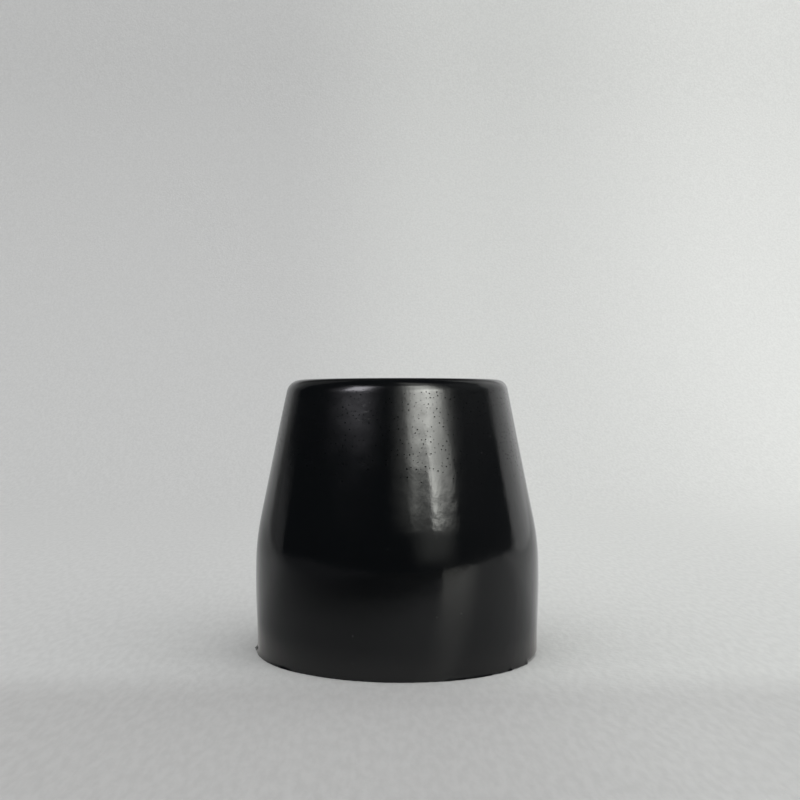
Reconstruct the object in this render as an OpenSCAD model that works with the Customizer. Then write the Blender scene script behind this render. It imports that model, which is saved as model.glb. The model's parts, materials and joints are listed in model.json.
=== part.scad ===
// Foot tip for the leg of a step stool, moulded in one piece of black rubber.
// A gently barrelled base bends into a tapered upper wall with a rounded rim,
// and a blind socket in the top face takes the end of a round tube leg.
// Millimetres, +Z up, with the origin at the centre of the sole.

/* [Outside] */
// Height from the sole to the top face
tip_h = 40.1; // [38:0.1:50]
// Diameter at which the taper would meet the top face
top_d = 32.3; // [31:0.1:35]
// Radius of the rounded rim round the top face
rim_r = 1.6; // [0.5:0.1:2.4]
// Diameter of the sole
sole_d = 41.5; // [38:0.1:46]
// Height of the straight wall above the sole
sole_wall_h = 3.8; // [1:0.1:6]
// Swell of the belly beyond the sole, on the radius
belly_swell = 0.25; // [0.1:0.05:0.6]
// Height of the widest ring of the belly
belly_h = 11; // [9:0.5:13]
// Height at which the taper would cut the belly, before the bend is rounded
bend_h = 17; // [16:0.5:22]
// Radius of the bend between the belly and the taper
bend_r = 38; // [20:1:60]

/* [Socket] */
// Diameter of the socket, which is the outside diameter of the tube
socket_d = 25.4; // [22:0.1:26.6]
// Depth of the socket below the top face
socket_depth = 30; // [20:0.5:34]
// Radius of the rounded edge of the socket's mouth
mouth_r = 0.8; // [0.2:0.1:1.5]

/* [Hidden] */
$fa = 1;
$fs = 0.25;

// How far a cut runs past the face that it opens
cut_past = 1;
// Step by which each arc stands prouder than the outline below it, so that the two
// cross cleanly where they would only touch
lap = 0.001;

// Every point below is on the half section, as [distance from the axis, height].

// Belly: one arc from the straight wall up, widest at belly_h
belly_rise = belly_h - sole_wall_h;
belly_arc_r = (belly_rise ^ 2 + belly_swell ^ 2) / (2 * belly_swell);
belly_centre = [sole_d / 2 + belly_swell - belly_arc_r, belly_h];

// Taper: a straight line from the belly at bend_h to the edge of the top face
bend_corner = [belly_centre.x + sqrt(belly_arc_r ^ 2 - (bend_h - belly_h) ^ 2), bend_h];
lean = atan2(bend_corner.x - top_d / 2, tip_h - bend_h);
outward = [cos(lean), sin(lean)];
upward = [-sin(lean), cos(lean)];

// Bend: an arc that the taper touches, and that touches the belly from inside.
// Its centre is bend_r in from the taper, and climb is how far above the corner it
// lies, where the two arcs' centres are belly_arc_r - bend_r apart.
beside_corner = bend_corner - bend_r * outward;
from_belly = beside_corner - belly_centre;
climb = -from_belly * upward
    - sqrt((from_belly * upward) ^ 2 - from_belly * from_belly + (belly_arc_r - bend_r) ^ 2);
bend_centre = beside_corner + climb * upward;
bend_low = belly_centre + (bend_centre - belly_centre) * belly_arc_r / (belly_arc_r - bend_r);
bend_high = bend_centre + bend_r * outward;

// Rim: an arc that the taper and the top face touch
rim_centre = [top_d / 2 - rim_r * (1 - sin(lean)) / cos(lean), tip_h - rim_r];
rim_low = rim_centre + rim_r * outward;

module arc_disc(centre, r, laps) {
    translate(centre) circle(r + laps * lap);
}

// Half section of the outside, filled to the axis
module outside_section() {
    widest = sole_d / 2 + belly_swell + lap;
    intersection() {
        square([widest, tip_h]);
        union() {
            square([sole_d / 2, sole_wall_h]);
            intersection() {
                arc_disc(belly_centre, belly_arc_r, 1);
                square([widest, bend_low.y]);
            }
            arc_disc(bend_centre, bend_r, 2);
            polygon([[0, 0], bend_high, rim_low, [rim_centre.x, tip_h], [0, tip_h]]);
            arc_disc(rim_centre, rim_r, 1);
        }
    }
}

// Half section of the socket, with its rounded mouth
module socket_section() {
    mouth_centre = [socket_d / 2 + mouth_r, tip_h - mouth_r];
    translate([0, tip_h - socket_depth]) square([socket_d / 2, socket_depth + cut_past]);
    difference() {
        translate([0, mouth_centre.y]) square([mouth_centre.x, mouth_r + cut_past]);
        translate(mouth_centre) circle(mouth_r);
    }
}

module foot_tip() {
    color([0.05, 0.05, 0.055])
        rotate_extrude()
            difference() {
                outside_section();
                socket_section();
            }
}

foot_tip();
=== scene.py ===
"""Foot tip of a step stool's leg, in moulded black rubber, on a pale sweep of cloth under soft light.

The outline is worked out in millimetres on the half section, as [distance from the axis, height], and
spun round the axis. The finished mesh is in metres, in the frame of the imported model.
"""

import json
import math
import random

import bmesh
import bpy
from mathutils import Matrix, Vector, noise


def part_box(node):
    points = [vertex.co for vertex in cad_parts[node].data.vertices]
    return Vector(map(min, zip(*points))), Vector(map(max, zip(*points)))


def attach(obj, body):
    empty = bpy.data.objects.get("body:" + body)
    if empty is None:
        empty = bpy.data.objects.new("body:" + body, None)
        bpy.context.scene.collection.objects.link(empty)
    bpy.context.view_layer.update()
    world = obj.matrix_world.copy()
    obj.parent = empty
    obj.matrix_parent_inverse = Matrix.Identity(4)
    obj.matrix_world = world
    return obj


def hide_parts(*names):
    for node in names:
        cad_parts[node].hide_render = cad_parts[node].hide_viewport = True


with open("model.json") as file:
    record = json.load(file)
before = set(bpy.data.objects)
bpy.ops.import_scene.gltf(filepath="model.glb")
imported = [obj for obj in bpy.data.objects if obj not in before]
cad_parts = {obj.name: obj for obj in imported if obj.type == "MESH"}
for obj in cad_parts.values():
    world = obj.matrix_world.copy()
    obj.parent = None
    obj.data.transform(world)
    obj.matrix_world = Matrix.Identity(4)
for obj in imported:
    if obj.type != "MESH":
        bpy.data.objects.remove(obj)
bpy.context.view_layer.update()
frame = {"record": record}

MM = 0.001
NODE = "foot_tip"

# ---------------------------------------------------------------- sizes, in millimetres

node_low, node_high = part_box(NODE)
TIP_H = node_high[2] / MM
BELLY_R = node_high[0] / MM

SOLE_R = 20.75
SOLE_WALL_H = 3.8
# The wall runs softly into the belly up to this height
SOFT_TOP = 6.4
BELLY_H = 11.0
BEND_H = 17.0
BEND_R = 38.0
TOP_R = 16.15
# The rim isn't worn evenly: it is roundest at one side and tightest opposite
RIM_R_TIGHT = 1.3
RIM_R_WORN = 2.35
RIM_WORN_AZIMUTH = -30
# The edge of the sole, where the flash was trimmed off by hand
TRIM_WIDE = 0.5
TRIM_HIGH = 1.4

socket_mount = next(m for m in frame["record"]["mounts"] if m["name"] == "leg_socket")
SOCKET_R = socket_mount["dims"]["r_mm"]
SOCKET_WALL = socket_mount["dims"]["length_mm"]
SOCKET_FLOOR = socket_mount["pos_m"][2] / MM - SOCKET_WALL / 2
MOUTH_R = TIP_H - SOCKET_FLOOR - SOCKET_WALL

# ---------------------------------------------------------------- mesh resolution

# Steps round the axis, and the slices that they are made in
AROUND = 384
SLICES = 16
# More corners than the mesh has, so that no two faces get the same number for their order
MOST_VERTS = 2**17
# Corners closer than this, in metres, are merged
MERGED = 1e-7
TRIM_RINGS = 4
WALL_RINGS = 22
BELLY_RINGS = 34
BEND_RINGS = 24
TAPER_RINGS = 66
RIM_RINGS = 16
MOUTH_RINGS = 6
INSIDE_RINGS = 6


# ---------------------------------------------------------------- outline

def along_line(start, end, count):
    """This many points from start up to, but not with, end."""
    return [start.lerp(end, i / count) for i in range(count)]


def along_arc(centre, radius, start_angle, end_angle, count):
    """This many points on an arc from start_angle up to, but not with, end_angle, in radians."""
    angles = [start_angle + (end_angle - start_angle) * i / count for i in range(count)]
    return [centre + radius * Vector((math.cos(a), math.sin(a))) for a in angles]


def along_bend(start, corner, end, count):
    """This many points on a smooth bend from start, by way of corner, up to, but not with, end."""
    shares = [i / count for i in range(count)]
    return [start.lerp(corner, t).lerp(corner.lerp(end, t), t) for t in shares]


def outside_outline(rim_r):
    """The outside of the half section, from the edge of the sole up to the flat of the top face."""
    swell = BELLY_R - SOLE_R
    rise = BELLY_H - SOLE_WALL_H
    belly_arc_r = (rise**2 + swell**2) / (2 * swell)
    belly_centre = Vector((BELLY_R - belly_arc_r, BELLY_H))

    corner_x = belly_centre.x + math.sqrt(belly_arc_r**2 - (BEND_H - BELLY_H) ** 2)
    corner = Vector((corner_x, BEND_H))
    lean = math.atan2(corner.x - TOP_R, TIP_H - BEND_H)
    outward = Vector((math.cos(lean), math.sin(lean)))
    upward = Vector((-math.sin(lean), math.cos(lean)))

    beside_corner = corner - BEND_R * outward
    from_belly = beside_corner - belly_centre
    across = from_belly.dot(upward)
    apart = belly_arc_r - BEND_R
    climb = -across - math.sqrt(across**2 - from_belly.length_squared + apart**2)
    bend_centre = beside_corner + climb * upward
    meet = bend_centre - belly_centre
    meet_angle = math.atan2(meet.y, meet.x)

    rim_x = TOP_R - rim_r * (1 - math.sin(lean)) / math.cos(lean)
    rim_centre = Vector((rim_x, TIP_H - rim_r))

    soft_angle = -math.asin((BELLY_H - SOFT_TOP) / belly_arc_r)
    soft_end = belly_centre + belly_arc_r * Vector((math.cos(soft_angle), math.sin(soft_angle)))
    soft_corner = Vector((SOLE_R, soft_end.y + (soft_end.x - SOLE_R) / math.tan(soft_angle)))

    trim_top = Vector((SOLE_R, TRIM_HIGH))
    points = along_line(Vector((SOLE_R, 0)), trim_top, TRIM_RINGS)
    points += along_bend(trim_top, soft_corner, soft_end, WALL_RINGS)
    points += along_arc(belly_centre, belly_arc_r, soft_angle, meet_angle, BELLY_RINGS)
    points += along_arc(bend_centre, BEND_R, meet_angle, lean, BEND_RINGS)
    taper_low = bend_centre + BEND_R * outward
    taper_high = rim_centre + rim_r * outward
    points += along_line(taper_low, taper_high, TAPER_RINGS)
    points += along_arc(rim_centre, rim_r, lean, math.pi / 2, RIM_RINGS)
    return points


def socket_outline():
    """The top face's flat, the rounded mouth, the socket's wall and its floor, down to the axis."""
    mouth_centre = Vector((SOCKET_R + MOUTH_R, TIP_H - MOUTH_R))
    floor_edge = Vector((SOCKET_R, SOCKET_FLOOR))
    points = along_arc(mouth_centre, MOUTH_R, math.pi / 2, math.pi, MOUTH_RINGS)
    points += along_line(Vector((SOCKET_R, mouth_centre.y)), floor_edge, INSIDE_RINGS)
    points += along_line(floor_edge, Vector((0, SOCKET_FLOOR)), INSIDE_RINGS)
    points.append(Vector((0, SOCKET_FLOOR)))
    return points


def sole_outline():
    """The sole, from the axis out. Its last ring stays down where the edge is trimmed away."""
    trim_start = Vector((SOLE_R - TRIM_WIDE, 0))
    return along_line(Vector((0, 0)), trim_start, INSIDE_RINGS) + [trim_start]


def whole_outline(rim_r):
    """The closed half section, from the middle of the sole round to the middle of the socket's floor."""
    return sole_outline() + outside_outline(rim_r) + socket_outline()


# ---------------------------------------------------------------- the piece

def corner_order(part):
    """One number from the indices of the first three corners of a face, or both ends of an edge."""
    order = 0
    for index in sorted(vert.index for vert in part.verts)[:3]:
        order = order * MOST_VERTS + index
    return order


def spun_body():
    """The whole tip as one closed bmesh: one slice is spun, and copies of it go all round."""
    bm = bmesh.new()
    ring = bm.verts.layers.int.new("ring")
    outline = whole_outline(RIM_R_TIGHT)
    verts = [bm.verts.new((p.x * MM, 0, p.y * MM)) for p in outline]
    for i, vert in enumerate(verts):
        vert[ring] = i
    edges = [bm.edges.new(pair) for pair in zip(verts, verts[1:])]
    slice_angle = math.tau / SLICES
    bmesh.ops.spin(
        bm,
        geom=verts + edges,
        cent=(0, 0, 0),
        axis=(0, 0, 1),
        angle=slice_angle,
        steps=AROUND // SLICES,
    )
    first_slice = bm.verts[:] + bm.edges[:] + bm.faces[:]
    for i in range(1, SLICES):
        copied = bmesh.ops.duplicate(bm, geom=first_slice)["geom"]
        moved = [g for g in copied if isinstance(g, bmesh.types.BMVert)]
        turn = Matrix.Rotation(slice_angle * i, 3, "Z")
        bmesh.ops.rotate(bm, cent=(0, 0, 0), matrix=turn, verts=moved)
    bmesh.ops.remove_doubles(bm, verts=bm.verts, dist=MERGED)
    # Merging leaves another order of faces on each run. They are sorted, so that the chance draws for the
    # pits come out the same
    bm.verts.index_update()
    bm.edges.sort(key=corner_order)
    bm.faces.sort(key=corner_order)
    bmesh.ops.recalc_face_normals(bm, faces=bm.faces)
    return bm


def azimuth_of(place):
    """Degrees round the axis: 0 at the front, on -Y, and growing towards +X."""
    return math.degrees(math.atan2(place.x, -place.y))


def push_out(vert, by_mm):
    """Moves a vertex straight out from the axis."""
    outward = Vector((vert.co.x, vert.co.y, 0)).normalized()
    vert.co += outward * (by_mm * MM)


def steps_between(value, low, high):
    """0 below low, 1 above high, and a smooth rise between."""
    t = min(1, max(0, (value - low) / (high - low)))
    return t * t * (3 - 2 * t)


def wear_rim(bm):
    """Rounds the rim more at its worn side, by sliding each ring from the tight outline to the worn one."""
    ring = bm.verts.layers.int["ring"]
    tight = whole_outline(RIM_R_TIGHT)
    worn = whole_outline(RIM_R_WORN)
    for vert in bm.verts:
        outward = Vector((vert.co.x, vert.co.y, 0)).normalized()
        beside = math.radians(azimuth_of(vert.co) - RIM_WORN_AZIMUTH)
        share = 0.5 + 0.5 * math.cos(beside)
        change = (worn[vert[ring]] - tight[vert[ring]]) * (share * MM)
        vert.co += outward * change.x + Vector((0, 0, change.y))


# How far the top leans to the right, in millimetres, and the height that it starts from
TOP_LEAN = 0.06
LEAN_LOW = 30.0


def lean_top(bm):
    for vert in bm.verts:
        vert.co.x += TOP_LEAN * MM * steps_between(vert.co.z / MM, LEAN_LOW, TIP_H)


# The mould's own unevenness, as soft shallow waves in the outside. The socket stays clear of them
WAVE_DEEP = 0.012
WAVE_SIZE = 6.5
RIPPLE_DEEP = 0.006
RIPPLE_SIZE = 1.7
WAVES_CLEAR = 1.0


def add_waves(bm):
    for vert in bm.verts:
        reach = math.hypot(vert.co.x, vert.co.y) / MM
        if reach < SOCKET_R + WAVES_CLEAR:
            continue
        wave = noise.noise(vert.co / (WAVE_SIZE * MM)) * WAVE_DEEP
        ripple = noise.noise(vert.co / (RIPPLE_SIZE * MM)) * RIPPLE_DEEP
        push_out(vert, wave + ripple)


# How high the edge of the sole was trimmed, how rough the cut is, and how far it leans in
TRIM_USUAL = 0.04
TRIM_ROUGH = 0.06
TRIM_GRAIN = 0.7
TRIM_LEAST = 0.01
TRIM_LEAN = 0.35
# Stretches that were cut higher: from and to, in degrees round the axis, and how high. Their start and
# their end, and those of the lips, are soft to so many degrees each way
DEEP_TRIMS = [(60.5, 96, 0.3), (36.5, 41, 0.07), (48, 53, 0.07), (130, 171, 0.2)]
DEEP_TRIM_SOFT = (0.6, 6)
# Stretches where a thin lip of flash stands out at the floor: from, to, and how far
LIPS = [(-104, -44, 0.15), (14, 58, 0.10)]
LIP_SOFT = (4, 8)
LIP_HIGH = 0.26
# Tags of flash that were left: where round the axis, half width in degrees, height, reach
TAGS = [(-85.2, 1.3, 0.35, 0.40), (59.4, 0.8, 0.1, 0.16), (47, 0.7, 0.1, 0.1), (152, 1.1, 0.3, 0.3)]
TAG_THICK = 0.3


def inside_stretch(azimuth, start, end, soft):
    """1 from start to end and 0 outside, with each end soft to its own number of degrees each way."""
    begun = steps_between(azimuth, start - soft[0], start + soft[0])
    return begun - steps_between(azimuth, end - soft[1], end + soft[1])


def trimmed_height(azimuth, place):
    """How high the trimmed edge of the sole stands above the floor, in millimetres."""
    height = TRIM_USUAL + TRIM_ROUGH * noise.noise(place / (TRIM_GRAIN * MM))
    for start, end, high in DEEP_TRIMS:
        height += high * inside_stretch(azimuth, start, end, DEEP_TRIM_SOFT)
    return max(TRIM_LEAST, height)


def trim_sole(bm):
    """Cuts the edge of the sole unevenly, and leaves a few tags of flash on it."""
    for vert in bm.verts:
        height = vert.co.z / MM
        reach = math.hypot(vert.co.x, vert.co.y) / MM
        if height > TRIM_HIGH or reach < SOLE_R - TRIM_WIDE / 2:
            continue
        azimuth = azimuth_of(vert.co)
        rise = trimmed_height(azimuth, Vector((vert.co.x, vert.co.y, 0)))
        vert.co.z += rise * (1 - height / TRIM_HIGH) * MM
        if height < TRIM_HIGH / TRIM_RINGS / 2:
            push_out(vert, -TRIM_LEAN * rise)
        for start, end, lip_reach in LIPS:
            inside = inside_stretch(azimuth, start, end, LIP_SOFT)
            push_out(vert, lip_reach * inside * math.exp(-((height / LIP_HIGH) ** 2)))
        for where, half_wide, high, tag_reach in TAGS:
            beside = (azimuth - where) / half_wide
            above = (height - high) / TAG_THICK
            push_out(vert, tag_reach * math.exp(-beside**2 - above**2))


# Air pits in the skin. They start at PIT_LOW, are thickest from PIT_FULL up, and keep clear of the top
# face and of the socket's mouth
PIT_LOW = 24.0
PIT_FULL = 30.0
PIT_CHANCE = 0.21
PIT_TOP_CLEAR = 0.2
PIT_MOUTH_CLEAR = 0.6
# What is left of the face round a pit of each size, the least edge that a pit has room in, how far a
# face slides, and the share of the mouth's side that is cut at each corner
PIT_MARGINS = (0.045, 0.065, 0.078, 0.088)
PIT_ROOM = 0.2
PIT_SHIFT = 0.08
PIT_CORNER = 0.3
PIT_SIDES = 8
PIT_DEEP = 0.12
PIT_SEED = 11
# The slot of the pits' painted shade on the finished piece
PIT_SHADE_SLOT = 1


def pit_chance(height):
    """The chance that a face at this height, in millimetres, has a pit."""
    return PIT_CHANCE * steps_between(height, PIT_LOW, PIT_FULL) ** 2


def slide_face(face, around_mm, up_mm):
    """Slides a face on the skin, so that the pits don't stand in rows."""
    middle = face.calc_center_median()
    around = Vector((-middle.y, middle.x, 0)).normalized()
    upward = face.normal.cross(around)
    shift = (around * around_mm + upward * up_mm) * MM
    for vert in face.verts:
        vert.co += shift


def faces_for_pits(bm):
    """Faces on the taper and the rim that share no corner, drawn by chance into one list per size."""
    draw = random.Random(PIT_SEED)
    chosen = [[] for margin in PIT_MARGINS]
    bm.normal_update()
    taken = set()
    for face in bm.faces:
        middle = face.calc_center_median()
        if middle.z < PIT_LOW * MM or middle.z > (TIP_H - PIT_TOP_CLEAR) * MM:
            continue
        if math.hypot(middle.x, middle.y) < (SOCKET_R + MOUTH_R + PIT_MOUTH_CLEAR) * MM:
            continue
        if draw.random() > pit_chance(middle.z / MM):
            continue
        if min(edge.calc_length() for edge in face.edges) < PIT_ROOM * MM:
            continue
        if any(vert in taken for vert in face.verts):
            continue
        taken.update(face.verts)
        slide_face(face, draw.uniform(-PIT_SHIFT, PIT_SHIFT), draw.uniform(-PIT_SHIFT, PIT_SHIFT))
        chosen[draw.randrange(len(chosen))].append(face)
    return chosen


def add_pits(bm):
    """Sinks a small pit inside each chosen face: its corners are cut to make it eight-sided."""
    for margin, faces in zip(PIT_MARGINS, faces_for_pits(bm)):
        bmesh.ops.inset_individual(bm, faces=faces, thickness=margin * MM, use_even_offset=True)
        corners = [vert for face in faces for vert in face.verts]
        side = min(edge.calc_length() for edge in faces[0].edges)
        bmesh.ops.bevel(
            bm,
            geom=corners,
            offset=side * PIT_CORNER,
            affect="VERTICES",
            segments=1,
            profile=0.5,
            material=-1,
        )
        mouths = [face for face in bm.faces if len(face.verts) == PIT_SIDES]
        pits = bmesh.ops.poke(bm, faces=mouths, offset=-PIT_DEEP * MM, center_mode="MEAN")["faces"]
        for pit in pits:
            # The pit's faces take the painted shade
            pit.material_index = PIT_SHADE_SLOT
            for edge in pit.edges:
                edge.smooth = False


# Edges that fold by more than this, in degrees, are creases
CREASE = 40


def mark_sharp(bm):
    """Creases where the real edges are: round the sole and round the socket's floor."""
    for edge in bm.edges:
        if len(edge.link_faces) == 2 and edge.calc_face_angle() > math.radians(CREASE):
            edge.smooth = False
    for face in bm.faces:
        face.smooth = True


def finished(bm, name, *materials):
    mesh = bpy.data.meshes.new(name)
    bm.to_mesh(mesh)
    bm.free()
    for material in materials:
        mesh.materials.append(material)
    piece = bpy.data.objects.new(name, mesh)
    bpy.context.scene.collection.objects.link(piece)
    return piece


# ---------------------------------------------------------------- node helpers

def new_nodes(owner):
    owner.use_nodes = True
    owner.node_tree.nodes.clear()
    return owner.node_tree.nodes, owner.node_tree.links


def linked(nodes, links, kind, inputs, **settings):
    """A node of this kind, with its settings, and with a value or a link on each socket given."""
    node = nodes.new(kind)
    for name, value in settings.items():
        setattr(node, name, value)
    for socket, value in inputs.items():
        if isinstance(value, bpy.types.NodeSocket):
            links.new(value, node.inputs[socket])
        else:
            node.inputs[socket].default_value = value
    return node


class Recipe:
    """Short words for the nodes that a finish is mixed from."""

    def __init__(self, owner, coordinate="Object"):
        self.nodes, self.links = new_nodes(owner)
        self.place = self.add("ShaderNodeTexCoord", {}).outputs[coordinate]

    def add(self, kind, inputs, **settings):
        return linked(self.nodes, self.links, kind, inputs, **settings)

    def math(self, operation, *values):
        return self.add("ShaderNodeMath", dict(enumerate(values)), operation=operation).outputs["Value"]

    def ramp(self, value, low, high, to_low=0.0, to_high=1.0):
        """to_low up to low, to_high from high on, and a smooth change between."""
        inputs = {"Value": value, "From Min": low, "From Max": high, "To Min": to_low, "To Max": to_high}
        made = self.add("ShaderNodeMapRange", inputs, interpolation_type="SMOOTHSTEP", clamp=True)
        return made.outputs["Result"]

    def between(self, share, first, second):
        """first where share is 0, second where it is 1."""
        kept = self.math("MULTIPLY", self.math("SUBTRACT", 1.0, share), first)
        return self.math("ADD", kept, self.math("MULTIPLY", share, second))

    def band(self, value, low, high, soft):
        """1 between low and high and 0 outside, with edges that are soft to this distance each way."""
        rise = self.ramp(value, low - soft, low + soft)
        fall = self.ramp(value, high - soft, high + soft, 1.0, 0.0)
        return self.math("MULTIPLY", rise, fall)

    def noise(self, size_mm, detail=2.0, place=None):
        inputs = {"Vector": place or self.place, "Scale": 1 / (size_mm * MM), "Detail": detail}
        return self.add("ShaderNodeTexNoise", inputs).outputs["Fac"]

    def stretched(self, x, y, z):
        """The place, with each axis multiplied, so that a pattern on it is squeezed."""
        inputs = {0: self.place, 1: (x, y, z)}
        return self.add("ShaderNodeVectorMath", inputs, operation="MULTIPLY").outputs["Vector"]

    def colour_mix(self, share, first, second):
        """first where share is 0, second where it is 1. A mix node's colours have these numbers."""
        inputs = {0: share, 6: first, 7: second}
        return self.add("ShaderNodeMix", inputs, data_type="RGBA").outputs[2]

    def most(self, *values):
        result = values[0]
        for value in values[1:]:
            result = self.math("MAXIMUM", result, value)
        return result

    def relief(self, height_mm):
        """The normal of a surface with this much relief in it."""
        inputs = {"Height": height_mm, "Strength": 1.0, "Distance": MM}
        return self.add("ShaderNodeBump", inputs).outputs["Normal"]


# ---------------------------------------------------------------- finish

# Sizes and places are in millimetres. A noise runs mostly from NOISE_LOW to NOISE_HIGH
NOISE_LOW = 0.3
NOISE_HIGH = 0.7

RUBBER_BLACK = (0.0037, 0.0043, 0.0048, 1)
RUBBER_DULL = (0.012, 0.012, 0.0125, 1)
RUBBER_SHINE = 0.35
SMOOTH_ROUGHNESS = 0.115
HAZY_ROUGHNESS = 0.19
HAZE_LOW = 25.0
HAZE_HIGH = 37.0
RIM_ROUGHNESS = 0.16
RIM_GLOSS_LOW = 36.5
RIM_GLOSS_HIGH = 39.0
PATCH_SIZE = 3.5
PATCH_ROUGHNESS = 0.015
# The socket and the sole are dull. Each ends softly: outwards from the socket's wall, inwards from the
# edge of the sole, and upwards from the floor
DULL_ROUGHNESS = 0.62
SOCKET_DULL_EDGE = (0.1, 0.5)
SOLE_DULL_EDGE = (0.6, 0.3)
UNDER_EDGE = (0.01, 0.04)
# Specks of dust, in a few of the cells of a fine grid
DUST = (0.11, 0.11, 0.105, 1)
DUST_ROUGHNESS = 0.6
DUST_CELL = 1.6
DUST_SPECK = (0.02, 0.045)
DUST_CHANCE = (0.80, 0.82)
# Scuffs: fine streaks round the tip, close to one place
SCUFF_PLACE = (-5.1, -16.2, 35.4)
SCUFF_REACH = 2.4
SCUFF_CORE = 0.4
SCUFF_SIZE = 0.9
SCUFF_SQUEEZE = 7
SCUFF_STREAKS = (0.60, 0.70)
SCUFF_PALE = 0.09
SCUFF_ROUGHNESS = 0.36
# Relief in the skin: soft waves, a grain that grows with height, and the dull faces' roughness
SKIN_WAVE_SIZE = 0.7
SKIN_WAVE_STRETCH = 0.5
SKIN_WAVE_HIGH = 0.009
GRAIN_SIZE = 0.2
GRAIN_LOW = 18
GRAIN_FULL = 34
GRAIN_HIGH = (0.0006, 0.0030)
DULL_GRAIN_SIZE = 0.3
DULL_GRAIN_HIGH = 0.02


def black_rubber():
    """Glossy moulded rubber: hazier towards the rim, dull under the sole and in the socket."""
    material = bpy.data.materials.new("black_rubber")
    mix = Recipe(material)
    axes = mix.add("ShaderNodeSeparateXYZ", {"Vector": mix.place}).outputs
    across = mix.math("MULTIPLY", axes["X"], axes["X"])
    across = mix.math("ADD", across, mix.math("MULTIPLY", axes["Y"], axes["Y"]))
    reach = mix.math("SQRT", across)

    in_socket = mix.ramp(reach, *((SOCKET_R + edge) * MM for edge in SOCKET_DULL_EDGE), 1.0, 0.0)
    under = mix.ramp(axes["Z"], *(edge * MM for edge in UNDER_EDGE), 1.0, 0.0)
    in_sole = mix.ramp(reach, *((SOLE_R - edge) * MM for edge in SOLE_DULL_EDGE), 1.0, 0.0)
    dull = mix.most(in_socket, mix.math("MULTIPLY", under, in_sole))

    haze = mix.ramp(axes["Z"], HAZE_LOW * MM, HAZE_HIGH * MM, SMOOTH_ROUGHNESS, HAZY_ROUGHNESS)
    on_rim = mix.ramp(axes["Z"], RIM_GLOSS_LOW * MM, RIM_GLOSS_HIGH * MM, 0.0, HAZY_ROUGHNESS - RIM_ROUGHNESS)
    patches = mix.ramp(mix.noise(PATCH_SIZE, 3.0), NOISE_LOW, NOISE_HIGH, -PATCH_ROUGHNESS, PATCH_ROUGHNESS)
    skin = mix.math("ADD", mix.math("SUBTRACT", haze, on_rim), patches)

    cells = mix.add("ShaderNodeTexVoronoi", {"Vector": mix.place, "Scale": 1 / (DUST_CELL * MM)})
    near = mix.ramp(cells.outputs["Distance"], *DUST_SPECK, 1.0, 0.0)
    chance = mix.add("ShaderNodeSeparateColor", {"Color": cells.outputs["Color"]}).outputs["Red"]
    dust = mix.math("MULTIPLY", near, mix.ramp(chance, *DUST_CHANCE))

    streaks = mix.ramp(mix.noise(SCUFF_SIZE, 1.0, mix.stretched(1, 1, SCUFF_SQUEEZE)), *SCUFF_STREAKS)
    from_scuff = mix.add(
        "ShaderNodeVectorMath",
        {0: mix.place, 1: tuple(c * MM for c in SCUFF_PLACE)},
        operation="DISTANCE",
    ).outputs["Value"]
    rubbed = mix.ramp(from_scuff, SCUFF_REACH * SCUFF_CORE * MM, SCUFF_REACH * MM, 1.0, 0.0)
    scuffs = mix.math("MULTIPLY", streaks, rubbed)

    colour = mix.colour_mix(dull, RUBBER_BLACK, RUBBER_DULL)
    colour = mix.colour_mix(mix.math("MULTIPLY", scuffs, SCUFF_PALE), colour, DUST)
    colour = mix.colour_mix(dust, colour, DUST)
    roughness = mix.most(
        skin,
        mix.math("MULTIPLY", dull, DULL_ROUGHNESS),
        mix.math("MULTIPLY", scuffs, SCUFF_ROUGHNESS),
        mix.math("MULTIPLY", dust, DUST_ROUGHNESS),
    )

    stretched = mix.stretched(1, 1, SKIN_WAVE_STRETCH)
    waves = mix.math("MULTIPLY", mix.noise(SKIN_WAVE_SIZE, 2.0, stretched), SKIN_WAVE_HIGH)
    grain_height = mix.ramp(axes["Z"], GRAIN_LOW * MM, GRAIN_FULL * MM, *GRAIN_HIGH)
    grain = mix.math("MULTIPLY", mix.noise(GRAIN_SIZE, 1.0), grain_height)
    dull_grain = mix.math("MULTIPLY", mix.noise(DULL_GRAIN_SIZE, 3.0), dull)
    rough_dull = mix.math("MULTIPLY", dull_grain, DULL_GRAIN_HIGH)
    bump = mix.relief(mix.math("ADD", mix.math("ADD", waves, grain), rough_dull))

    shader = mix.add("ShaderNodeBsdfPrincipled", {
        "Base Color": colour,
        "Roughness": roughness,
        "Normal": bump,
        "Specular IOR Level": RUBBER_SHINE,
    })
    mix.add("ShaderNodeOutputMaterial", {"Surface": shader.outputs["BSDF"]})
    return material


# Painted shade inside the pits: black, dull and with almost no shine
PIT_SHADE_BLACK = (0.0030, 0.0032, 0.0035, 1)
PIT_ROUGHNESS = 0.9
PIT_SHINE = 0.03
PIT_GRAIN_SIZE = 0.05
PIT_GRAIN_HIGH = 0.004


def pit_shade():
    """The inside of an air pit, painted as shade where light is lost: dull and black, with a faint grain."""
    material = bpy.data.materials.new("pit_shade")
    mix = Recipe(material)
    bump = mix.relief(mix.math("MULTIPLY", mix.noise(PIT_GRAIN_SIZE, 2.0), PIT_GRAIN_HIGH))
    shader = mix.add("ShaderNodeBsdfPrincipled", {
        "Base Color": PIT_SHADE_BLACK,
        "Roughness": PIT_ROUGHNESS,
        "Normal": bump,
        "Specular IOR Level": PIT_SHINE,
    })
    mix.add("ShaderNodeOutputMaterial", {"Surface": shader.outputs["BSDF"]})
    return material


# ---------------------------------------------------------------- stage

# In metres. The sweep is a sheet from its front edge to where it bends up, and on to its top
SWEEP_FRONT = -0.32
SWEEP_BEND = 0.20
SWEEP_RADIUS = 0.22
SWEEP_TOP = 0.90
SWEEP_LEFT = -0.62
SWEEP_RIGHT = 1.45
SWEEP_BEND_RINGS = 20
FAR_FLOOR_R = 3.0
FAR_FLOOR_DROP = 0.0005
FAR_FLOOR_SIDES = 64
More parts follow.
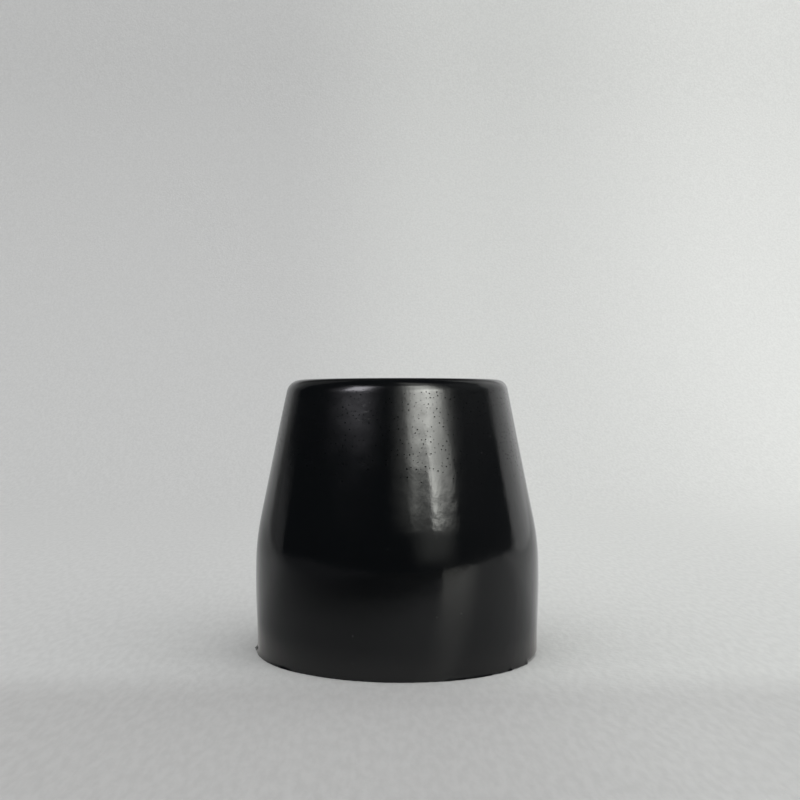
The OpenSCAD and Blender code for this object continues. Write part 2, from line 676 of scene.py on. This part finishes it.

# Painted light: the cloth is lighter towards its right. Each change of colour runs from one x to another
CLOTH_LEFT = (0.60, 0.605, 0.60, 1)
CLOTH_RIGHT_PAINTED_LIGHT = (0.69, 0.70, 0.685, 1)
CLOTH_FAR_RIGHT_PAINTED_LIGHT = (0.80, 0.81, 0.79, 1)
TO_RIGHT = (-0.055, 0.045)
TO_FAR_RIGHT = (0.06, 0.20)
CLOTH_ROUGHNESS = 0.95
CLOTH_SHINE = 0.1
# Its felt: a nap, and a grain that is drawn out from front to back. Sizes are in millimetres
CLOTH_NAP_SIZE = 0.9
CLOTH_NAP_HIGH = 0.10
FELT_SIZE = 0.9
FELT_LONG = 0.28
FELT_DARK = 0.962
FELT_LIGHT = 1.038
# A faint painted shade lies on it in front of the tip, from one y to another, and is weaker at the right
CLOTH_PAINTED_SHADE = (0.50, 0.50, 0.495, 1)
SHADE_START = -0.012
SHADE_END = -0.030
SHADE_RIGHT = 0.55
SHADE_TO_RIGHT = (0.0, 0.035)
# The tip mirrors the cloth in other colours, with painted light and shade. A painted shadow crosses its
# front, on a slant from X to Y. It is black in the middle, and starts further back and is grey at the left
SHADOW_SLANT = 0.5
SHADOW_START = -0.030
SHADOW_END = -0.115
SHADOW_LEFT_START = 0.0
SHADOW_LEFT_END = -0.125
SHADOW_FRONT = (0.0, 0.0, 0.0, 1)
SHADOW_LEFT = (0.11, 0.11, 0.12, 1)
LEFT_START = -0.020
LEFT_END = -0.070
GREY_START = -0.05
GREY_END = -0.13
# Painted light and shade: it gets paler towards the back and darker again far back, each from one y to
# another
MIRRORED_NEAR = (0.56, 0.565, 0.56, 1)
MIRRORED_BACK = (0.77, 0.775, 0.77, 1)
MIRRORED_FAR = (0.64, 0.645, 0.64, 1)
TO_BACK = (-0.008, 0.035)
TO_FAR = (0.055, 0.16)
# A painted ring of pale light lies close round the tip
MIRRORED_CLOSE_PAINTED_LIGHT = (0.74, 0.73, 0.71, 1)
CLOSE_START = 0.022
CLOSE_END = 0.036
# The left is painted dimmer than the right, as shade: the floor by one share, the backdrop's foot by less,
# and the rest of the backdrop by more with height
NEAR_LEFT_START = 0.020
NEAR_LEFT_END = -0.022
FLOOR_LEFT_DIM = 0.28
LOW_LEFT_DIM = 0.10
LOW_LEFT_HEIGHT = 0.03
HIGH_LEFT_START = 0.06
HIGH_LEFT_END = 0.45
HIGH_LEFT_DIM = 0.75
FAR_LEFT_START = -0.30
FAR_LEFT_END = -0.47
FAR_LEFT_DIM = 0.68
# Painted shade: the middle of the backdrop is nearly black from this height up
HIGH_START = 0.17
HIGH_END = 0.27
HIGH_DIM = 0.95
HIGH_WIDE = 0.28
HIGH_SOFT = 0.12
# The colour that the painted shade dims to
BLACK = (0.0, 0.0, 0.0, 1)
# A wedge of painted sunlight, glowing on the cloth, lies along the edge of the painted shadow at the right,
# from start to end. It fades across, where the way in is from the first to the second share of the way along
SUN_START = Vector((0.002, -0.019))
SUN_END = Vector((0.145, -0.2235))
SUN_EDGE = 0.005
SUN_FADE_FROM = 0.25
SUN_FADE_TO = 0.75
SUN_START_SHARE = 0.20
SUN_START_SOFT = 0.010
SUN_FULL = 0.10
SUN_STRENGTH = 0.92
SUN_COLOUR = (1.0, 1.0, 0.93, 1)


def cloth_seen(mix, x, y):
    """The cloth's colour at this place, with painted light towards the right and painted shade in front."""
    colour = mix.colour_mix(mix.ramp(x, *TO_RIGHT), CLOTH_LEFT, CLOTH_RIGHT_PAINTED_LIGHT)
    colour = mix.colour_mix(mix.ramp(x, *TO_FAR_RIGHT), colour, CLOTH_FAR_RIGHT_PAINTED_LIGHT)
    in_front = mix.ramp(y, SHADE_END, SHADE_START, 1.0, 0.0)
    less_right = mix.ramp(x, *SHADE_TO_RIGHT, 1.0, SHADE_RIGHT)
    colour = mix.colour_mix(mix.math("MULTIPLY", in_front, less_right), colour, CLOTH_PAINTED_SHADE)
    drawn_out = mix.noise(FELT_SIZE, 4.0, mix.stretched(1, FELT_LONG, 1))
    felt = mix.ramp(drawn_out, NOISE_LOW, NOISE_HIGH, FELT_DARK, FELT_LIGHT)
    return mix.add("ShaderNodeVectorMath", {0: colour, "Scale": felt}, operation="SCALE").outputs["Vector"]


def sunlight(mix, x, y):
    """How much of the painted sun's wedge, which glows on the cloth, lies on the floor at this place."""
    along_axis = (SUN_END - SUN_START).normalized()
    inward_axis = Vector((-along_axis.y, along_axis.x))
    from_x = mix.math("SUBTRACT", x, SUN_START.x)
    from_y = mix.math("SUBTRACT", y, SUN_START.y)
    along, inward = (
        mix.math("ADD", mix.math("MULTIPLY", from_x, axis.x), mix.math("MULTIPLY", from_y, axis.y))
        for axis in (along_axis, inward_axis)
    )
    share = mix.math("DIVIDE", inward, mix.math("MAXIMUM", along, SUN_EDGE))
    fade = mix.ramp(share, SUN_FADE_FROM, SUN_FADE_TO, 1.0, 0.0)
    edge = mix.ramp(inward, -SUN_EDGE, SUN_EDGE)
    start = mix.ramp(along, -SUN_START_SOFT, SUN_FULL, SUN_START_SHARE, 1.0)
    return mix.math("MULTIPLY", mix.math("MULTIPLY", edge, fade), start)


def cloth_mirrored(mix, x, y, z):
    """The cloth's colour at this place as the tip mirrors it, with painted light and painted shadow."""
    slanted = mix.math("ADD", y, mix.math("MULTIPLY", x, SHADOW_SLANT))
    front = mix.ramp(slanted, SHADOW_END, SHADOW_START, 1.0, 0.0)
    front_left = mix.ramp(slanted, SHADOW_LEFT_END, SHADOW_LEFT_START, 1.0, 0.0)
    in_shadow = mix.between(mix.ramp(x, LEFT_END, LEFT_START, 1.0, 0.0), front, front_left)
    shadow = mix.colour_mix(mix.ramp(x, GREY_END, GREY_START, 1.0, 0.0), SHADOW_FRONT, SHADOW_LEFT)

    low_left = mix.ramp(z, 0.0, LOW_LEFT_HEIGHT, FLOOR_LEFT_DIM, LOW_LEFT_DIM)
    high_left = mix.ramp(z, HIGH_LEFT_START, HIGH_LEFT_END, 0.0, HIGH_LEFT_DIM)
    at_left = mix.ramp(x, NEAR_LEFT_END, NEAR_LEFT_START, 1.0, 0.0)
    left_dim = mix.math("MULTIPLY", at_left, mix.most(low_left, high_left))
    far_left_dim = mix.ramp(x, FAR_LEFT_END, FAR_LEFT_START, FAR_LEFT_DIM, 0.0)
    in_middle = mix.band(x, -HIGH_WIDE, HIGH_WIDE, HIGH_SOFT)
    high_dim = mix.math("MULTIPLY", mix.ramp(z, HIGH_START, HIGH_END, 0.0, HIGH_DIM), in_middle)

    colour = mix.colour_mix(mix.ramp(y, *TO_BACK), MIRRORED_NEAR, MIRRORED_BACK)
    colour = mix.colour_mix(mix.ramp(y, *TO_FAR), colour, MIRRORED_FAR)
    colour = mix.colour_mix(mix.most(left_dim, far_left_dim, high_dim), colour, BLACK)
    colour = mix.colour_mix(in_shadow, colour, shadow)
    across = mix.math("ADD", mix.math("MULTIPLY", x, x), mix.math("MULTIPLY", y, y))
    close = mix.ramp(mix.math("SQRT", across), CLOSE_START, CLOSE_END, 1.0, 0.0)
    return mix.colour_mix(close, colour, MIRRORED_CLOSE_PAINTED_LIGHT)


def sweep_cloth():
    """Pale felt for the camera. The tip mirrors it with painted light and shade, and a painted glow of sun.
    """
    material = bpy.data.materials.new("sweep_cloth")
    mix = Recipe(material)
    x, y, z = mix.add("ShaderNodeSeparateXYZ", {"Vector": mix.place}).outputs
    in_rubber = mix.add("ShaderNodeLightPath", {}).outputs["Is Glossy Ray"]
    colour = mix.colour_mix(in_rubber, cloth_seen(mix, x, y), cloth_mirrored(mix, x, y, z))
    # Painted sunlight: the cloth glows in the wedge, but only where the tip mirrors it
    sun = mix.math("MULTIPLY", mix.math("MULTIPLY", sunlight(mix, x, y), in_rubber), SUN_STRENGTH)
    shader = mix.add("ShaderNodeBsdfPrincipled", {
        "Base Color": colour,
        "Roughness": CLOTH_ROUGHNESS,
        "Specular IOR Level": CLOTH_SHINE,
        "Normal": mix.relief(mix.math("MULTIPLY", mix.noise(CLOTH_NAP_SIZE, 3.0), CLOTH_NAP_HIGH)),
        "Emission Color": SUN_COLOUR,
        "Emission Strength": sun,
    })
    mix.add("ShaderNodeOutputMaterial", {"Surface": shader.outputs["BSDF"]})
    return material


def far_floor_cloth():
    """Pale cloth that is there for the camera only, so that the tip mirrors the room's dark."""
    material = bpy.data.materials.new("far_floor_cloth")
    mix = Recipe(material)
    shader = mix.add("ShaderNodeBsdfPrincipled", {
        "Base Color": CLOTH_LEFT,
        "Roughness": CLOTH_ROUGHNESS,
        "Specular IOR Level": CLOTH_SHINE,
    })
    clear = mix.add("ShaderNodeBsdfTransparent", {})
    for_camera = mix.add("ShaderNodeLightPath", {}).outputs["Is Camera Ray"]
    seen = {0: for_camera, 1: clear.outputs["BSDF"], 2: shader.outputs["BSDF"]}
    surface = mix.add("ShaderNodeMixShader", seen).outputs["Shader"]
    mix.add("ShaderNodeOutputMaterial", {"Surface": surface})
    return material


def sweep():
    """The cloth: a floor that curves up into a backdrop behind the tip."""
    bm = bmesh.new()
    bend_centre = Vector((SWEEP_BEND, SWEEP_RADIUS))
    outline = [Vector((SWEEP_FRONT, 0))]
    outline += along_arc(bend_centre, SWEEP_RADIUS, -math.pi / 2, 0, SWEEP_BEND_RINGS)
    outline += [bend_centre + Vector((SWEEP_RADIUS, 0)), Vector((SWEEP_BEND + SWEEP_RADIUS, SWEEP_TOP))]
    verts = [bm.verts.new((SWEEP_LEFT, p.x, p.y)) for p in outline]
    edges = [bm.edges.new(pair) for pair in zip(verts, verts[1:])]
    made = bmesh.ops.extrude_edge_only(bm, edges=edges)["geom"]
    moved = [g for g in made if isinstance(g, bmesh.types.BMVert)]
    bmesh.ops.translate(bm, verts=moved, vec=(SWEEP_RIGHT - SWEEP_LEFT, 0, 0))
    for face in bm.faces:
        face.smooth = True
    return finished(bm, "sweep", sweep_cloth())


def far_floor():
    bm = bmesh.new()
    place = Matrix.Translation((0, 0, -FAR_FLOOR_DROP))
    bmesh.ops.create_circle(bm, cap_ends=True, segments=FAR_FLOOR_SIDES, radius=FAR_FLOOR_R, matrix=place)
    return finished(bm, "far_floor", far_floor_cloth())


# ---------------------------------------------------------------- light

AIM = Vector((0, 0, 0.025))
WHITE = (1.0, 1.0, 1.0)
WARM = (1.0, 0.995, 0.96)
# Azimuth and elevation, distance in metres, width and height in degrees, radiance, colour
SOFT_BOXES = {
    "soft_overhead": (20, 72, 1.4, 60, 60, 0.38, WHITE),
    "soft_behind": (150, 55, 0.62, 50, 50, 0.28, WHITE),
    "soft_right": (80, 35, 0.85, 46, 40, 0.30, WARM),
}
BOUNCE_CARD = (132, 18, 0.35, 54, 44, 0.30, WHITE)


def direction(azimuth, elevation):
    """Azimuth 0 is towards the camera's side, along -Y, and grows towards +X. Both in degrees."""
    a, e = math.radians(azimuth), math.radians(elevation)
    return Vector((math.sin(a) * math.cos(e), -math.cos(a) * math.cos(e), math.sin(e)))


def lamp(name, azimuth, elevation, distance, wide, tall, radiance, colour):
    """A rectangular lamp that faces the tip and looks wide by tall degrees from there."""
    data = bpy.data.lights.new(name, "AREA")
    data.shape = "RECTANGLE"
    data.size = 2 * distance * math.tan(math.radians(wide) / 2)
    data.size_y = 2 * distance * math.tan(math.radians(tall) / 2)
    data.energy = radiance * math.pi * data.size * data.size_y
    data.color = colour
    made = bpy.data.objects.new(name, data)
    away = direction(azimuth, elevation)
    made.location = AIM + away * distance
    made.rotation_mode = "QUATERNION"
    made.rotation_quaternion = away.to_track_quat("Z", "Y")
    made.visible_camera = False
    bpy.context.scene.collection.objects.link(made)
    return made


def lights():
    """Soft boxes that light the cloth, and one low bounce card that only shows mirrored in the rubber."""
    for name, numbers in SOFT_BOXES.items():
        lamp(name, *numbers).visible_glossy = False
    lamp("right_bounce", *BOUNCE_CARD).visible_diffuse = False


WORLD_PALE = (0.62, 0.63, 0.62, 1)
WORLD_AMBIENT = (0.80, 0.80, 0.805, 1)
WORLD_DARK = (0.006, 0.008, 0.012)
WINDOW_COLOUR = Vector((0.985, 1.0, 0.94))
GLOW_COLOUR = Vector((0.95, 0.93, 1.0))
PLAIN = Vector((1.0, 1.0, 1.0))

# What the tip mirrors of the room: azimuth from, to and softness, elevation from, to and softness,
# all in degrees, and then radiance and colour
ROOM_PANES = {
    "window": (11.5, 43.5, 6.5, 20.9, 60, 1.8, 7.8, WINDOW_COLOUR),
    "window lower part": (11.5, 43, 6, 20.8, 30, 1.8, 9.0, WINDOW_COLOUR),
    "window middle": (20.5, 32.5, 3, 22.8, 54, 0.5, 3.3, WINDOW_COLOUR),
    "window corner": (10.5, 28, 4, 17.6, 20.6, 2.2, 1.4, WINDOW_COLOUR),
    "window corner's tail": (11, 16.5, 2, 17.2, 20.8, 1.6, 1.7, WINDOW_COLOUR),
    "window right sill": (30, 49, 4.5, 15.9, 19.4, 0.8, 6.5, WINDOW_COLOUR),
    "window sill by the strip": (30, 37.5, 2.2, 16.4, 18.2, 0.7, 7.6, WINDOW_COLOUR),
    "window bright strip": (28.2, 30.6, 0.8, 17.2, 36, 0.6, 12.5, WINDOW_COLOUR),
    "window strip's top": (28.2, 30.4, 0.7, 20.4, 23, 0.4, 4.5, WINDOW_COLOUR),
    "window strip's foot": (29.0, 33, 0.9, 16.6, 18.0, 0.5, 13.0, WINDOW_COLOUR),
    "light round the window": (0, 56, 10, 18, 60, 4.0, 1.3, WINDOW_COLOUR),
    "light under the window": (16, 43, 9, 2, 17, 5.0, 0.58, WINDOW_COLOUR),
    "ceiling": (20, 65, 22, 62, 88, 8.0, 2.0, WINDOW_COLOUR),
    "left glow": (-60, -36, 3, 27.5, 54, 5.5, 9.5, GLOW_COLOUR),
    "light round the left glow": (-72, -26, 12, 21.5, 60, 2.5, 1.1, GLOW_COLOUR),
    "right wall": (60, 110, 18, 16, 60, 6.0, 0.22, PLAIN),
    "right wall low": (50, 110, 14, -10, 16, 6.0, 0.05, PLAIN),
    "light low at the left": (-124, -107, 1.5, -20, 8, 2.0, 0.22, PLAIN),
}


def room():
    """The camera sees pale, the cloth is lit evenly, and the tip mirrors a dark room with a window."""
    world = bpy.data.worlds.new("room")
    bpy.context.scene.world = world
    mix = Recipe(world, "Generated")
    axes = mix.add("ShaderNodeSeparateXYZ", {"Vector": mix.place}).outputs
    from_front = mix.math("ARCTAN2", axes["X"], mix.math("MULTIPLY", axes["Y"], -1.0))
    azimuth = mix.math("DEGREES", from_front)
    elevation = mix.math("DEGREES", mix.math("ARCSINE", axes["Z"]))
    mirrored = WORLD_DARK
    for az_from, az_to, az_soft, el_from, el_to, el_soft, radiance, colour in ROOM_PANES.values():
        across = mix.band(azimuth, az_from, az_to, az_soft)
        up = mix.band(elevation, el_from, el_to, el_soft)
        shape = mix.math("MULTIPLY", across, up)
        light = mix.add("ShaderNodeVectorMath", {0: colour * radiance, "Scale": shape}, operation="SCALE")
        total = mix.add("ShaderNodeVectorMath", {0: mirrored, 1: light.outputs["Vector"]}, operation="ADD")
        mirrored = total.outputs["Vector"]
    path = mix.add("ShaderNodeLightPath", {}).outputs
    ambient = mix.add("ShaderNodeBackground", {"Color": WORLD_AMBIENT}).outputs["Background"]
    in_rubber = mix.add("ShaderNodeBackground", {"Color": mirrored}).outputs["Background"]
    pale = mix.add("ShaderNodeBackground", {"Color": WORLD_PALE}).outputs["Background"]
    unseen = mix.add("ShaderNodeMixShader", {0: path["Is Glossy Ray"], 1: ambient, 2: in_rubber})
    behind = unseen.outputs["Shader"]
    seen = mix.add("ShaderNodeMixShader", {0: path["Is Camera Ray"], 1: behind, 2: pale})
    mix.add("ShaderNodeOutputWorld", {"Surface": seen.outputs["Shader"]})


# ---------------------------------------------------------------- camera

# The place is in metres. The focal length and the point that the lens looks at are in pixels
CAMERA_PLACE = Vector((-0.0053, -0.16275, 0.03664))
IMAGE_SIDE = 800
FOCAL_PX = 1084.8
AXIS_PX = (361.3, 403.2)
SENSOR_WIDE = 36
CLIP_NEAR = 0.01
CLIP_FAR = 20


def camera():
    data = bpy.data.cameras.new("camera")
    data.sensor_width = SENSOR_WIDE
    data.lens = FOCAL_PX / IMAGE_SIDE * data.sensor_width
    data.shift_x = 0.5 - AXIS_PX[0] / IMAGE_SIDE
    data.shift_y = AXIS_PX[1] / IMAGE_SIDE - 0.5
    data.clip_start = CLIP_NEAR
    data.clip_end = CLIP_FAR
    made = bpy.data.objects.new("camera", data)
    made.location = CAMERA_PLACE
    made.rotation_euler = (math.pi / 2, 0, 0)
    bpy.context.scene.collection.objects.link(made)
    bpy.context.scene.camera = made


# ---------------------------------------------------------------- the scene

bpy.context.scene.view_settings.view_transform = "Standard"
camera()
room()
lights()
sweep()
far_floor()

body = spun_body()
wear_rim(body)
lean_top(body)
add_waves(body)
trim_sole(body)
mark_sharp(body)
add_pits(body)
tip = finished(body, "rubber_foot_tip", black_rubber(), pit_shade())
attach(tip, "root")
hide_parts(NODE)
